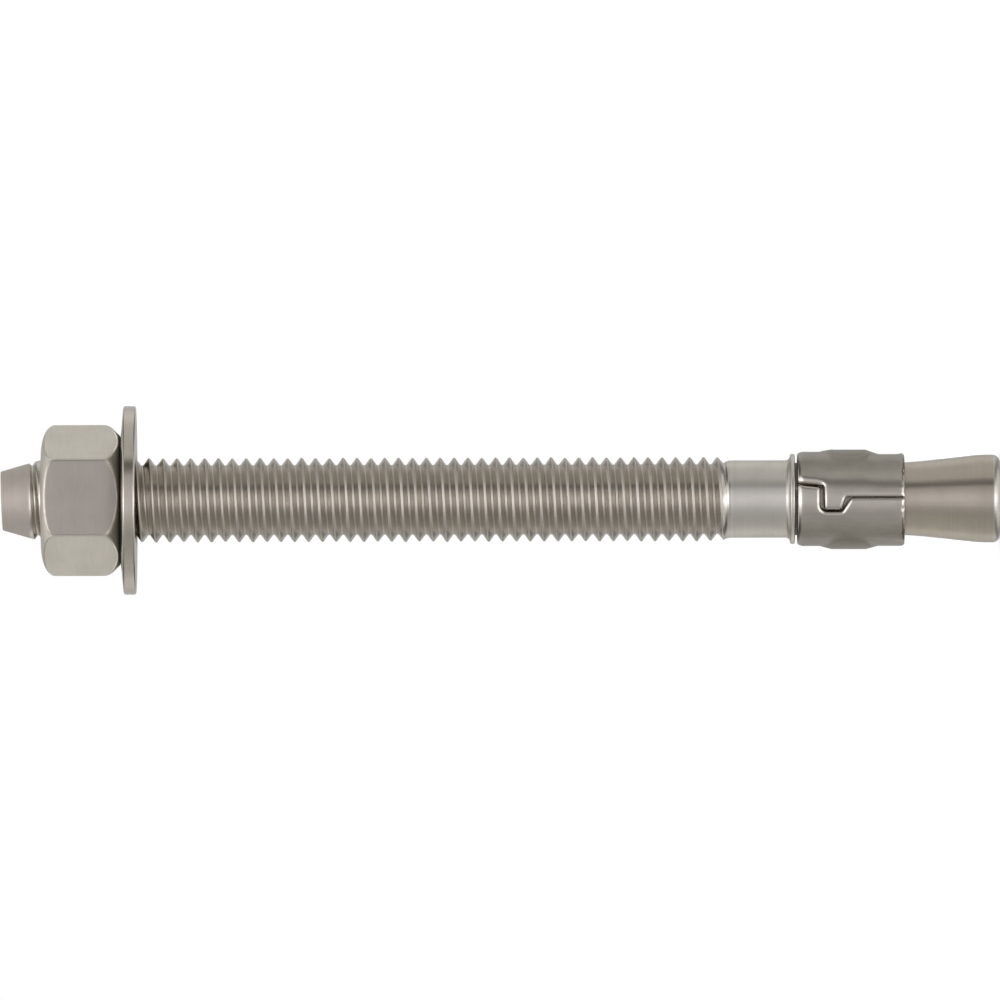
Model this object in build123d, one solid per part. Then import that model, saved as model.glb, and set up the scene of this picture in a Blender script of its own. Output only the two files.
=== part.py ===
"""Stud-type wedge anchor with its expansion sleeve, flat washer and hexagon nut.

Lengths are in millimetres and angles in degrees. Every piece is built about the anchor's own axis, which
is the X axis from the threaded point (X = 0) towards the cone. standing_place() then stands the finished
anchor on the flat end of its cone, point upwards, as it goes into its hole.
"""

from build123d import *
import math
import os

# Stud: one cold-formed bar, listed from the point to the cone
POINT_DIAMETER = 8.2
POINT_LENGTH = 6.5
POINT_SHEAR_ANGLE = 2.0
THREAD_DIAMETER = 12.2
THREAD_LENGTH = 101.6
RUNOUT_LENGTH = 1.5
SHANK_DIAMETER = 10.9
SHANK_LENGTH = 8.2
COLLAR_DIAMETER = 12.7
COLLAR_THICKNESS = 0.65
COLLAR_ROOT_RADIUS = 0.7
COLLAR_EDGE = 0.15
NECK_DIAMETER = 10.2
NECK_RUN_OUT = 0.55
CONE_HALF_ANGLE = 6.35
CONE_DIAMETER = 12.4
CONE_LAND = 2.85
CONE_ROOT_RADIUS = 50.0
CONE_SHOULDER_RADIUS = 20.0
CONE_END_RADIUS = 1.1

# Expansion sleeve: one strip of sheet, rolled round the neck with ends that interlock
SLEEVE_DIAMETER = 13.3
SLEEVE_LENGTH = 15.3
SHEET_THICKNESS = 1.1
SHEET_EDGE = 0.3
PAD_HEIGHT = 0.45
PAD_SPREAD_ANGLE = 43.0
PAD_FLAT_LENGTH = 4.8
PAD_RAMP_LENGTH = 1.7
PAD_CENTRE = 7.25
TAB_LENGTH = 3.4
TAB_HEIGHT = 2.0
TONGUE_LENGTH = 2.45
TONGUE_DEPTH = 1.45
TONGUE_SLANT = 0.6
LIP_HEIGHT = 3.5
LIP_SLOPE = 0.8
SEAM_HEIGHT = 0.25
SEAM_GAP = 0.24
TONGUE_SIDE_GAP = 0.55
TONGUE_FOOT_GAP = 0.4
SEAM_CORNER_RADIUS = 0.4

# Washer
WASHER_DIAMETER = 26.6
WASHER_THICKNESS = 2.15
WASHER_CROWN = 0.4
WASHER_EDGE = 0.35

# Nut
NUT_ACROSS_FLATS = 18.6
NUT_ACROSS_CORNERS = 21.3
NUT_HEIGHT = 11.2
NUT_SETBACK = 5.7
CROWN_DEPTH = 2.0
CROWN_FACE_DIAMETER = 13.3
BEARING_DIAMETER = 18.1
COUNTERSINK = 0.45
# How far the nut is screwed past the turn at which one of its flats faces the seam's side squarely
NUT_TURN = 2.7

# Clearances between the pieces
THREAD_CLEARANCE = 0.06
WASHER_BORE_CLEARANCE = 0.65
WASHER_SEAT_CLEARANCE = 0.05
SLEEVE_END_CLEARANCE = 0.35
CUT_OVERSHOOT = 1.0

# Stations along the stud, measured from the point
RUNOUT_END = THREAD_LENGTH + RUNOUT_LENGTH
COLLAR_START = RUNOUT_END + SHANK_LENGTH
COLLAR_FACE = COLLAR_START + COLLAR_THICKNESS
SLEEVE_START = COLLAR_FACE + SLEEVE_END_CLEARANCE
NECK_END = SLEEVE_START + SLEEVE_LENGTH + NECK_RUN_OUT
CONE_RISE = (CONE_DIAMETER - NECK_DIAMETER) / 2
CONE_TOP = NECK_END + CONE_RISE / math.tan(math.radians(CONE_HALF_ANGLE))
OVERALL_LENGTH = CONE_TOP + CONE_LAND
NUT_SEAT = NUT_SETBACK + NUT_HEIGHT
WASHER_START = NUT_SEAT + WASHER_SEAT_CLEARANCE
WASHER_FACE = WASHER_START + WASHER_THICKNESS


def outline(*corners):
    """Closed face through corners given as (along, across), or (along, across, fillet or chamfer, size)."""
    face = make_face(Polyline(*[corner[:2] for corner in corners], close=True))
    for along, across, *finish in corners:
        if finish:
            shape_corner, size = finish
            face = shape_corner(face.vertices().sort_by_distance((along, across, 0))[0], size)
    return face


def turned(*corners):
    """Solid of revolution about the anchor's axis."""
    return revolve(outline(*corners), axis=Axis.X)


def make_stud():
    """Threaded bar with a sheared point, a collar, and a neck that widens into the cone."""
    bar = turned(
        (0, 0),
        (0, POINT_DIAMETER / 2),
        (POINT_LENGTH, THREAD_DIAMETER / 2),
        (THREAD_LENGTH, THREAD_DIAMETER / 2),
        (RUNOUT_END, SHANK_DIAMETER / 2),
        (COLLAR_START, SHANK_DIAMETER / 2, fillet, COLLAR_ROOT_RADIUS),
        (COLLAR_START, COLLAR_DIAMETER / 2, chamfer, COLLAR_EDGE),
        (COLLAR_FACE, COLLAR_DIAMETER / 2, chamfer, COLLAR_EDGE),
        (COLLAR_FACE, NECK_DIAMETER / 2),
        (NECK_END, NECK_DIAMETER / 2, fillet, CONE_ROOT_RADIUS),
        (CONE_TOP, CONE_DIAMETER / 2, fillet, CONE_SHOULDER_RADIUS),
        (OVERALL_LENGTH, CONE_DIAMETER / 2, fillet, CONE_END_RADIUS),
        (OVERALL_LENGTH, 0),
    )
    shear = math.radians(POINT_SHEAR_ANGLE)
    cut = Plane(
        origin=(POINT_DIAMETER / 2 * math.tan(shear), 0, 0),
        z_dir=(math.cos(shear), math.sin(shear), 0),
    )
    return split(bar, bisect_by=cut, keep=Keep.TOP)


def along_axis(start, radius, length):
    """Plain cylinder on the anchor's axis."""
    upright = Cylinder(radius, length, align=(Align.CENTER, Align.CENTER, Align.MIN))
    return Pos(start, 0, 0) * Rot(0, 90, 0) * upright


def sheet_form(inset):
    """The sleeve's skin, moved inwards by inset: a cylinder with a flat-topped pad on two opposite sides.

    A pad is part of a slimmer cylinder that stands off the axis, so that it comes out of the skin by
    PAD_HEIGHT and fades into it at PAD_SPREAD_ANGLE to either side.
    """
    skin = SLEEVE_DIAMETER / 2
    crest = skin + PAD_HEIGHT
    spread = math.radians(PAD_SPREAD_ANGLE)
    offset = (crest**2 - skin**2) / (2 * (crest - skin * math.cos(spread)))
    pad_radius = crest - offset
    foot = skin - offset
    flat = PAD_FLAT_LENGTH / 2
    ramp_end = flat + PAD_RAMP_LENGTH
    pad = turned(
        (-ramp_end, 0),
        (-ramp_end, foot - inset),
        (-flat, pad_radius - inset),
        (flat, pad_radius - inset),
        (ramp_end, foot - inset),
        (ramp_end, 0),
    )
    form = turned(
        (0, 0),
        (0, skin - inset, chamfer, SHEET_EDGE),
        (SLEEVE_LENGTH, skin - inset, chamfer, SHEET_EDGE),
        (SLEEVE_LENGTH, 0),
    )
    for side in (-1, 1):
        form += Pos(PAD_CENTRE, side * offset, 0) * pad
    return form


def seam_gap():
    """The space between the strip's two ends: an S that hooks a tongue of one end behind a tab of the other."""
    tongue_start = TAB_LENGTH + TONGUE_SIDE_GAP
    tongue_end = tongue_start + TONGUE_LENGTH
    slant_end = tongue_end + TONGUE_SLANT
    lip_end = LIP_HEIGHT - LIP_SLOPE
    upper_height = SEAM_HEIGHT + SEAM_GAP
    far = SLEEVE_LENGTH + CUT_OVERSHOOT
    foot = -TONGUE_DEPTH - TONGUE_FOOT_GAP
    gap = outline(
        (-CUT_OVERSHOOT, LIP_HEIGHT),
        (0, LIP_HEIGHT),
        (tongue_start, lip_end, fillet, SEAM_CORNER_RADIUS),
        (tongue_start, -TONGUE_DEPTH, fillet, SEAM_CORNER_RADIUS),
        (tongue_end, -TONGUE_DEPTH, fillet, SEAM_CORNER_RADIUS),
        (slant_end, upper_height, fillet, SEAM_CORNER_RADIUS),
        (far, upper_height),
        (far, SEAM_HEIGHT),
        (slant_end + TONGUE_FOOT_GAP, SEAM_HEIGHT, fillet, SEAM_CORNER_RADIUS),
        (tongue_end + TONGUE_FOOT_GAP / 2, foot, fillet, SEAM_CORNER_RADIUS),
        (TAB_LENGTH, foot, fillet, SEAM_CORNER_RADIUS),
        (TAB_LENGTH, TAB_HEIGHT, fillet, SEAM_CORNER_RADIUS),
        (0, TAB_HEIGHT),
        (-CUT_OVERSHOOT, TAB_HEIGHT),
    )
    return extrude(gap, amount=SLEEVE_DIAMETER)


def make_sleeve():
    """Rolled and pressed strip that stands loosely round the neck, with its seam on the +Z side."""
    wall = sheet_form(0) - sheet_form(SHEET_THICKNESS)
    bore = SLEEVE_DIAMETER / 2 - SHEET_THICKNESS
    wall -= along_axis(-CUT_OVERSHOOT, bore, SLEEVE_LENGTH + 2 * CUT_OVERSHOOT)
    sleeve = wall - seam_gap()
    return Pos(SLEEVE_START, 0, 0) * sleeve


def make_washer():
    """Punched flat washer: its upper face is slightly crowned and its rim rounded by the punch."""
    bore = THREAD_DIAMETER / 2 + WASHER_BORE_CLEARANCE
    rim = WASHER_DIAMETER / 2
    return turned(
        (WASHER_START, bore, chamfer, WASHER_EDGE),
        (WASHER_START, BEARING_DIAMETER / 2),
        (WASHER_START + WASHER_CROWN, rim, chamfer, WASHER_EDGE),
        (WASHER_FACE, rim, chamfer, WASHER_EDGE),
        (WASHER_FACE, bore),
    )


def make_nut():
    """Hexagon nut with a domed outer end, a chamfered bearing end and a countersunk bore."""
    corner = NUT_ACROSS_CORNERS / 2
    crown_face = CROWN_FACE_DIAMETER / 2
    bearing = BEARING_DIAMETER / 2
    hexagon = Rot(0, 90, 0) * RegularPolygon(NUT_ACROSS_FLATS / 2, 6, major_radius=False, rotation=30)
    prism = extrude(hexagon, amount=NUT_HEIGHT)
    dome = EllipticalCenterArc(
        (CROWN_DEPTH, crown_face), CROWN_DEPTH, corner - crown_face, start_angle=90, arc_size=90
    )
    rest = Polyline(
        (0, crown_face),
        (0, 0),
        (NUT_HEIGHT, 0),
        (NUT_HEIGHT, bearing),
        (NUT_HEIGHT - (corner - bearing), corner),
        (CROWN_DEPTH, corner),
    )
    blank = prism & revolve(make_face([dome, rest]), axis=Axis.X)
    bore = THREAD_DIAMETER / 2 + THREAD_CLEARANCE
    mouth = bore + COUNTERSINK
    hole = turned(
        (-CUT_OVERSHOOT, 0),
        (-CUT_OVERSHOOT, mouth),
        (0, mouth),
        (COUNTERSINK, bore),
        (NUT_HEIGHT - COUNTERSINK, bore),
        (NUT_HEIGHT, mouth),
        (NUT_HEIGHT + CUT_OVERSHOOT, mouth),
        (NUT_HEIGHT + CUT_OVERSHOOT, 0),
    )
    return Pos(NUT_SETBACK, 0, 0) * Rot(-NUT_TURN, 0, 0) * (blank - hole)


def standing_place():
    """Location that stands the anchor on its cone end, with the origin at the middle of that end."""
    return Pos(0, 0, OVERALL_LENGTH) * Rot(0, 90, 0)


def main():
    """Build the four pieces and write one file for each."""
    pieces = {
        "anchor_body": make_stud(),
        "expansion_sleeve": make_sleeve(),
        "washer": make_washer(),
        "hex_nut": make_nut(),
    }
    place = standing_place()
    os.makedirs("parts", exist_ok=True)
    for name, piece in pieces.items():
        export_step(place * piece, f"parts/{name}.step")


main()
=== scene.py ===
"""Dressed model of a stud-type wedge anchor: threaded stud, hexagon nut, flat washer and expansion sleeve.

The anchor stands on the flat end of its cone, and its axis is the world's Z axis. Sizes are in millimetres,
and the meshes are in metres. A station is a distance along the axis, measured downwards from the point.
"""
import logging
import math
from abc import ABC, abstractmethod
from contextlib import contextmanager
from dataclasses import dataclass, field
from enum import Enum
from typing import Callable, Iterator

import bmesh
import bpy
import numpy as np
from mathutils import Matrix, Vector


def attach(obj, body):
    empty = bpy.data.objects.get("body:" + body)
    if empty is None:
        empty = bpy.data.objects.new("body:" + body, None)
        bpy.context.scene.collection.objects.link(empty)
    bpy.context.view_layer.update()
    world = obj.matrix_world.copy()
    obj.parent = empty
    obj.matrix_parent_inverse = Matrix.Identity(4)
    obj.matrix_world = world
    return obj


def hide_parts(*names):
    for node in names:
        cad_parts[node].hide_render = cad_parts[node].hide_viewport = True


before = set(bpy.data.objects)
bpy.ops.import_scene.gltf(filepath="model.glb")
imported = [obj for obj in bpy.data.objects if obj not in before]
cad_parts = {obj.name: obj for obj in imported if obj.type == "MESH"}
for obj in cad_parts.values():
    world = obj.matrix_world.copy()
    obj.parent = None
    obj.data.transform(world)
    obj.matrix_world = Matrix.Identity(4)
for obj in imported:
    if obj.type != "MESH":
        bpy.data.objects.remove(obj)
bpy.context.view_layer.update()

log = logging.getLogger("wedge_anchor")

MM = 0.001
FULL_TURN = 2 * math.pi
HALF_SIDE = math.pi / 6
"""Half the angle that one side of a hexagon takes up."""
MERGE_DISTANCE = 0.0015 * MM
CUT_THRESHOLD = 0.0002 * MM
LEAST_TURN = math.radians(1)
"""Turn below which a corner of an outline counts as straight."""
LONGEST_TANGENT = 0.98
"""Share of a side that the rounding of its corner may take up."""
WEAR_AND_SHEEN = "wear"
# Name of the attribute that tells how worn a piece's edges are, which also places a painted highlight on
# them.
"""Name of the attribute that tells how worn a piece's edges are."""
OVERALL_LENGTH = 140.885
"""Distance from the floor to the tip of the point."""

Spot = tuple[float, float]
Triple = tuple[float, float, float]
Colour = tuple[float, float, float]
RadiusRule = Callable[[np.ndarray, np.ndarray, np.ndarray], np.ndarray]
"""Gives new radii for arrays of stations, radii and angles, in millimetres and radians."""


# ---------------------------------------------------------------------------------------------------------
# Outlines
# ---------------------------------------------------------------------------------------------------------


@dataclass(frozen=True)
class Corner:
    """One corner of an outline.

    Args:
        along: Station, or distance along the piece, in millimetres.
        across: Radius, or distance across, in millimetres.
        rounding: Radius of the corner's rounding, or 0 for a sharp corner.
        steps: Number of straight pieces in the rounding.
    """

    along: float
    across: float
    rounding: float = 0.0
    steps: int = 3


def rounded_corner(before: Spot, corner: Corner, after: Spot) -> list[Spot]:
    """Replace one corner by an arc that touches both of its sides.

    Args:
        before: End of the side that leads to the corner.
        corner: The corner, with the radius of its rounding.
        after: End of the side that leaves the corner.

    Returns:
        The arc's points. Where the corner is straight they all lie on it, and a sharp one is its only point.
    """
    here = Vector((corner.along, corner.across))
    back, ahead = Vector(before) - here, Vector(after) - here
    reach = min(back.length, ahead.length)
    back.normalize()
    ahead.normalize()
    half_opening = math.acos(max(-1.0, min(1.0, back.dot(ahead)))) / 2
    turn = math.pi - 2 * half_opening
    if corner.rounding <= 0 or turn < LEAST_TURN:
        return [(here.x, here.y)] * (corner.steps + 1 if corner.rounding > 0 else 1)
    tangent = min(corner.rounding / math.tan(half_opening), reach * LONGEST_TANGENT)
    radius = tangent * math.tan(half_opening)
    centre = here + (back + ahead).normalized() * (radius / math.sin(half_opening))
    start = here + back * tangent - centre
    side = math.copysign(1, start.y * back.x - start.x * back.y)
    points = []
    for step in range(corner.steps + 1):
        angle = side * turn * step / corner.steps
        turned = Matrix.Rotation(angle, 2) @ start
        points.append((centre.x + turned.x, centre.y + turned.y))
    return points


def rounded_outline(corners: list[Corner], closed: bool = False) -> list[Spot]:
    """Round the corners of an outline.

    Args:
        corners: The outline's corners in order.
        closed: Whether the last corner leads back to the first.

    Returns:
        Points along the outline. A closed outline ends where it starts.
    """
    points: list[Spot] = []
    count = len(corners)
    for index, corner in enumerate(corners):
        if not closed and index in (0, count - 1):
            points.append((corner.along, corner.across))
            continue
        before, after = corners[index - 1], corners[(index + 1) % count]
        points += rounded_corner((before.along, before.across), corner, (after.along, after.across))
    if closed:
        points.append(points[0])
    return points


# ---------------------------------------------------------------------------------------------------------
# Bench: the modelling steps that every piece shares
# ---------------------------------------------------------------------------------------------------------


def height(station: float) -> float:
    """World height in metres of a station along the anchor."""
    return (OVERALL_LENGTH - station) * MM


def vertex_places(piece: bpy.types.Object) -> np.ndarray:
    """Read the places of a piece's vertices.

    Args:
        piece: The piece, in object mode.

    Returns:
        One row of X, Y and Z in metres for each vertex.
    """
    places = np.empty(len(piece.data.vertices) * 3)
    piece.data.vertices.foreach_get("co", places)
    return places.reshape(-1, 3)


def move_vertices(piece: bpy.types.Object, places: np.ndarray) -> None:
    """Put a piece's vertices at new places."""
    piece.data.vertices.foreach_set("co", places.ravel())
    piece.data.update()


def pick(*pieces: bpy.types.Object) -> None:
    """Select some pieces alone.

    Args:
        pieces: The pieces, of which the first is made active.
    """
    bpy.ops.object.select_all(action="DESELECT")
    for piece in pieces:
        piece.select_set(True)
    bpy.context.view_layer.objects.active = pieces[0]


@contextmanager
def editing(piece: bpy.types.Object) -> Iterator[None]:
    """Hold a piece in edit mode with all of it selected.

    Args:
        piece: The piece to edit.

    Returns:
        A context in which edit-mode operators act on the piece.
    """
    pick(piece)
    bpy.ops.object.mode_set(mode="EDIT")
    bpy.ops.mesh.select_all(action="SELECT")
    yield
    bpy.ops.object.mode_set(mode="OBJECT")


def draw_line(name: str, points: list[Vector]) -> bpy.types.Object:
    """Draw a line of edges by extruding one vertex from point to point.

    Args:
        name: The new piece's name.
        points: The line's points in metres.

    Returns:
        The new piece, an open line.
    """
    bpy.ops.object.select_all(action="DESELECT")
    bpy.ops.mesh.primitive_plane_add(size=MM, location=(0, 0, 0))
    line = bpy.context.active_object
    line.name = name
    with editing(line):
        bpy.ops.mesh.merge(type="CENTER")
        bpy.ops.transform.translate(value=points[0])
        for start, end in zip(points, points[1:]):
            bpy.ops.mesh.extrude_vertices_move(TRANSFORM_OT_translate={"value": end - start})
    return line


def close_up(piece: bpy.types.Object) -> None:
    """Merge a piece's doubled vertices and turn its faces outwards.

    Args:
        piece: The piece to finish.
    """
    with editing(piece):
        bpy.ops.mesh.remove_doubles(threshold=MERGE_DISTANCE)
        bpy.ops.mesh.select_all(action="SELECT")
        bpy.ops.mesh.normals_make_consistent(inside=False)


def turn_outline(name: str, outline: list[Spot], steps: int) -> bpy.types.Object:
    """Turn an outline about the anchor's axis.

    Args:
        name: The new piece's name.
        outline: Points as (station, radius).
        steps: Number of steps in the full turn.

    Returns:
        The turned piece, with its doubles merged.
    """
    points = [Vector((radius * MM, 0, height(station))) for station, radius in outline]
    line = draw_line(name, points)
    with editing(line):
        bpy.ops.mesh.spin(steps=steps, angle=FULL_TURN, center=(0, 0, 0), axis=(0, 0, 1))
    close_up(line)
    return line


def select_rim(piece: bpy.types.Object, station: float) -> None:
    """Select the open rim of a piece that lies at a station.

    Args:
        piece: The piece, which is in edit mode.
        station: Where the rim is.
    """
    bpy.ops.mesh.select_all(action="DESELECT")
    mesh = bmesh.from_edit_mesh(piece.data)
    for edge in mesh.edges:
        level = all(abs(end.co.z - height(station)) < MERGE_DISTANCE for end in edge.verts)
        if edge.is_boundary and level:
            edge.select_set(True)
    mesh.select_flush(True)
    bmesh.update_edit_mesh(piece.data)


def draw_out(piece: bpy.types.Object, outline: list[Spot]) -> None:
    """Draw a piece's round open rim out along an outline, and leave the last ring selected.

    Args:
        piece: The piece, which is in edit mode.
        outline: Points as (station, radius). The first is the rim itself.
    """
    select_rim(piece, outline[0][0])
    for (station, radius), (next_station, next_radius) in zip(outline, outline[1:]):
        rise = (station - next_station) * MM
        bpy.ops.mesh.extrude_edges_move(TRANSFORM_OT_translate={"value": (0, 0, rise)})
        growth = next_radius / radius
        bpy.ops.transform.resize(value=(growth, growth, 1), center_override=(0, 0, height(next_station)))


def cut_level(piece: bpy.types.Object, station: float, drop_above: bool) -> None:
    """Cut a piece level at a station and drop one side of the cut.

    Args:
        piece: The piece to cut.
        station: Where the cut is.
        drop_above: Whether the upper side is dropped, and not the lower one.
    """
    with editing(piece):
        bpy.ops.mesh.bisect(
            plane_co=(0, 0, height(station)),
            plane_no=(0, 0, 1),
            clear_outer=drop_above,
            clear_inner=not drop_above,
            threshold=CUT_THRESHOLD,
        )


def join(name: str, *pieces: bpy.types.Object) -> bpy.types.Object:
    """Join pieces into the first of them.

    Args:
        name: The joined piece's name.
        pieces: The pieces to join.

    Returns:
        The joined piece.
    """
    pick(*pieces)
    bpy.ops.object.join()
    pieces[0].name = name
    pieces[0].data.name = name
    return pieces[0]


def reshape(piece: bpy.types.Object, rule: RadiusRule) -> None:
    """Move each vertex towards or away from the axis.

    Args:
        piece: The piece to shape.
        rule: Gives the vertices' new radii.
    """
    places = vertex_places(piece)
    stations = OVERALL_LENGTH - places[:, 2] / MM
    radii = np.hypot(places[:, 0], places[:, 1]) / MM
    angles = np.arctan2(places[:, 1], places[:, 0])
    new_radii = rule(stations, radii, angles) * MM
    places[:, 0] = new_radii * np.cos(angles)
    places[:, 1] = new_radii * np.sin(angles)
    move_vertices(piece, places)


def smooth(piece: bpy.types.Object, sharpest: float = 50.0) -> None:
    """Shade a piece smoothly, but keep edges that turn by more than so many degrees."""
    pick(piece)
    bpy.ops.object.shade_smooth_by_angle(angle=math.radians(sharpest))


def apply_modifier(piece: bpy.types.Object, kind: str, **settings: object) -> None:
    """Add one modifier to a piece and apply it.

    Args:
        piece: The piece to change.
        kind: The modifier's type.
        settings: The modifier's settings.
    """
    modifier = piece.modifiers.new(kind.lower(), kind)
    for key, value in settings.items():
        setattr(modifier, key, value)
    pick(piece)
    bpy.ops.object.modifier_apply(modifier=modifier.name)


def smooth_step(values: np.ndarray, low: float, high: float) -> np.ndarray:
    """Rise from 0 at low to 1 at high without corners."""
    share = np.clip((values - low) / (high - low), 0, 1)
    return share * share * (3 - 2 * share)


def shoulder(reach: np.ndarray, width: float, slope: float) -> np.ndarray:
    """Depths of a round shoulder at a reach beyond its start, where its width ends in a slope in degrees."""
    radius = width / math.sin(math.radians(slope))
    return radius - np.sqrt(radius**2 - np.clip(reach, 0, width) ** 2)


# ---------------------------------------------------------------------------------------------------------
# Materials
# ---------------------------------------------------------------------------------------------------------


class Value:
    """A number that changes over a surface: one output socket, with Python's operators as Math nodes."""

    def __init__(self, book: "NodeBook", socket: bpy.types.NodeSocket) -> None:
        """Wrap a socket of the book's tree."""
        self.book = book
        self.socket = socket

    def math(self, operation: str, *others: "Value | float") -> "Value":
        """Result of a Math node that starts with this value."""
        return self.book.value("ShaderNodeMath", {"operation": operation}, dict(enumerate((self, *others))))

    def __add__(self, other: "Value | float") -> "Value":
        """Sum of two values."""
        return self.math("ADD", other)

    __radd__ = __add__

    def __mul__(self, other: "Value | float") -> "Value":
        """Product of two values."""
        return self.math("MULTIPLY", other)

    __rmul__ = __mul__

    def __sub__(self, other: "Value | float") -> "Value":
        """Difference of two values."""
        return self.math("SUBTRACT", other)

    def __rsub__(self, other: float) -> "Value":
        """Difference of a number and this value."""
        return self.math("MULTIPLY_ADD", -1.0, other)

    def ease(self, low: float, high: float, start: float = 0.0, end: float = 1.0) -> "Value":
        """Map this value from the range low to high onto start to end, without corners.

        Args:
            low: Where the rise begins.
            high: Where it ends.
            start: Result at low.
            end: Result at high.

        Returns:
            The mapped value.
        """
        settings = {"interpolation_type": "SMOOTHSTEP"}
        ends = {"Value": self, "From Min": low, "From Max": high, "To Min": start, "To Max": end}
        return self.book.value("ShaderNodeMapRange", settings, ends, "Result")

    def within(self, rise: Spot, fall: Spot) -> "Value":
        """Value that is 1 between a rise and a fall, each of them given as (start, end)."""
        return self.ease(*rise) * self.ease(*fall, 1.0, 0.0)


class NodeBook:
    """Node tree of one material or of the world, to which nodes are added in one way."""

    def __init__(self, tree: bpy.types.NodeTree) -> None:
        """Empty the tree for new nodes."""
        tree.nodes.clear()
        self.tree = tree

    def add(self, kind: str, settings: dict | None = None, inputs: dict | None = None) -> bpy.types.Node:
        """Add a node.

        Args:
            kind: The node's type.
            settings: Properties that are set first; stops holds a ramp's (position, colour) pairs.
            inputs: A number, colour, Value or socket for each input, by name or index.

        Returns:
            The new node.
        """
        node = self.tree.nodes.new(kind)
        for key, setting in (settings or {}).items():
            if key == "stops":
                self.set_stops(node.color_ramp, setting)
            else:
                setattr(node, key, setting)
        for key, given in (inputs or {}).items():
            given = given.socket if isinstance(given, Value) else given
            if isinstance(given, bpy.types.NodeSocket):
                self.tree.links.new(given, node.inputs[key])
            else:
                node.inputs[key].default_value = given
        return node

    @staticmethod
    def set_stops(ramp: bpy.types.ColorRamp, stops: list[tuple[float, Colour]]) -> None:
        """Give a ramp its stops.

        Args:
            ramp: The ramp of a new node.
            stops: Pairs of (position, colour), in order.
        """
        while len(ramp.elements) > 1:
            ramp.elements.remove(ramp.elements[-1])
        for index, (position, colour) in enumerate(stops):
            element = ramp.elements[0] if index == 0 else ramp.elements.new(position)
            element.position = position
            element.color = (*colour, 1.0)

    def value(self, kind: str, settings: dict, inputs: dict, output: str | int = 0) -> Value:
        """Add a node and wrap one of its outputs."""
        return Value(self, self.add(kind, settings, inputs).outputs[output])

    def mix(
        self, factor: Value | float, first: object, second: object, blend: str = "MIX"
    ) -> bpy.types.NodeSocket:
        """Blend two colours.

        Args:
            factor: 0 for the first colour, 1 for the second.
            first: A colour or a colour socket.
            second: A colour or a colour socket.
            blend: How the second colour acts on the first.

        Returns:
            Socket of the blended colour.
        """
        colours = [(*part, 1.0) if isinstance(part, tuple) else part for part in (first, second)]
        settings = {"data_type": "RGBA", "blend_type": blend}
        node = self.add("ShaderNodeMix", settings, {0: factor, 6: colours[0], 7: colours[1]})
        return node.outputs[2]

    def place(self) -> bpy.types.NodeSocket:
        """Object coordinates, in metres, with the anchor's axis as Z."""
        return self.add("ShaderNodeTexCoord").outputs["Object"]

    def grain(self, scale: Triple, detail: float = 3.0, roughness: float = 0.55) -> Value:
        """Noise stretched by a different scale along each axis.

        Args:
            scale: Features for each metre along X, Y and Z.
            detail: Octaves of finer noise.
            roughness: Strength of the finer octaves.

        Returns:
            The noise, about 0.5 on average.
        """
        mapped = self.add("ShaderNodeMapping", {}, {"Vector": self.place(), "Scale": scale}).outputs[0]
        inputs = {"Vector": mapped, "Scale": 1.0, "Detail": detail, "Roughness": roughness}
        return self.value("ShaderNodeTexNoise", {}, inputs, "Fac")

    def split(self, vector: bpy.types.NodeSocket) -> tuple[Value, ...]:
        """Parts of a vector along X, Y and Z."""
        parts = self.add("ShaderNodeSeparateXYZ", {}, {0: vector})
        return tuple(Value(self, part) for part in parts.outputs)

    def bump(
        self, relief: Value, depth: float, strength: float, **under: bpy.types.NodeSocket
    ) -> bpy.types.NodeSocket:
        """Normal of a surface with a relief so many millimetres deep, over the Normal under it, if any."""
        inputs = {"Strength": strength, "Distance": depth * MM, "Height": relief, **under}
        return self.add("ShaderNodeBump", {}, inputs).outputs[0]


@dataclass(frozen=True)
class Specks:
    """Unevenness of a worn place and of the painted highlight on it.

    Args:
        scale: Specks for each metre.
        rise: Values of the noise between which a speck grows.
        least: Wear between the specks.
    """

    scale: float
    rise: Spot
    least: float

    def wear(self, book: NodeBook) -> Value:
        """Value that is 1 on the specks and less between them."""
        return book.grain((self.scale,) * 3, detail=2.0).ease(*self.rise, self.least, 1.0)


@dataclass(frozen=True, kw_only=True)
class Patch(ABC):
    """Part of a surface where the finish differs.

    Args:
        tint: What the colour is multiplied by.
        roughness: What is added to the roughness.
        dullness: Share of the bare metal's look that is lost.
    """

    tint: Colour = (1.0, 1.0, 1.0)
    roughness: float = 0.0
    dullness: float = 0.0

    @abstractmethod
    def mask(self, book: NodeBook) -> Value:
        """Value that is 1 inside the patch and 0 outside."""


@dataclass(frozen=True, kw_only=True)
class Belt(Patch):
    """Belt round the anchor, between two stations and two radii.

    Args:
        top: Station where the belt begins.
        bottom: Station where it ends.
        inner: Least distance from the axis.
        outer: Greatest distance from the axis.
        fade: Half width of the belt's soft edges.
    """

    top: float = -10.0
    bottom: float = 200.0
    inner: float = -5.0
    outer: float = 50.0
    fade: float = 0.15

    def mask(self, book: NodeBook) -> Value:
        """Value that is 1 inside the belt and 0 outside.

        Args:
            book: The material's node tree.

        Returns:
            The mask.
        """
        x, y, z = (part * (1 / MM) for part in book.split(book.place()))
        station, radius = OVERALL_LENGTH - z, (x * x + y * y).math("SQRT")
        edges = (self.top, self.bottom, self.inner, self.outer)
        top, bottom, inner, outer = ((edge - self.fade, edge + self.fade) for edge in edges)
        return station.within(top, bottom) * radius.within(inner, outer)


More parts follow.
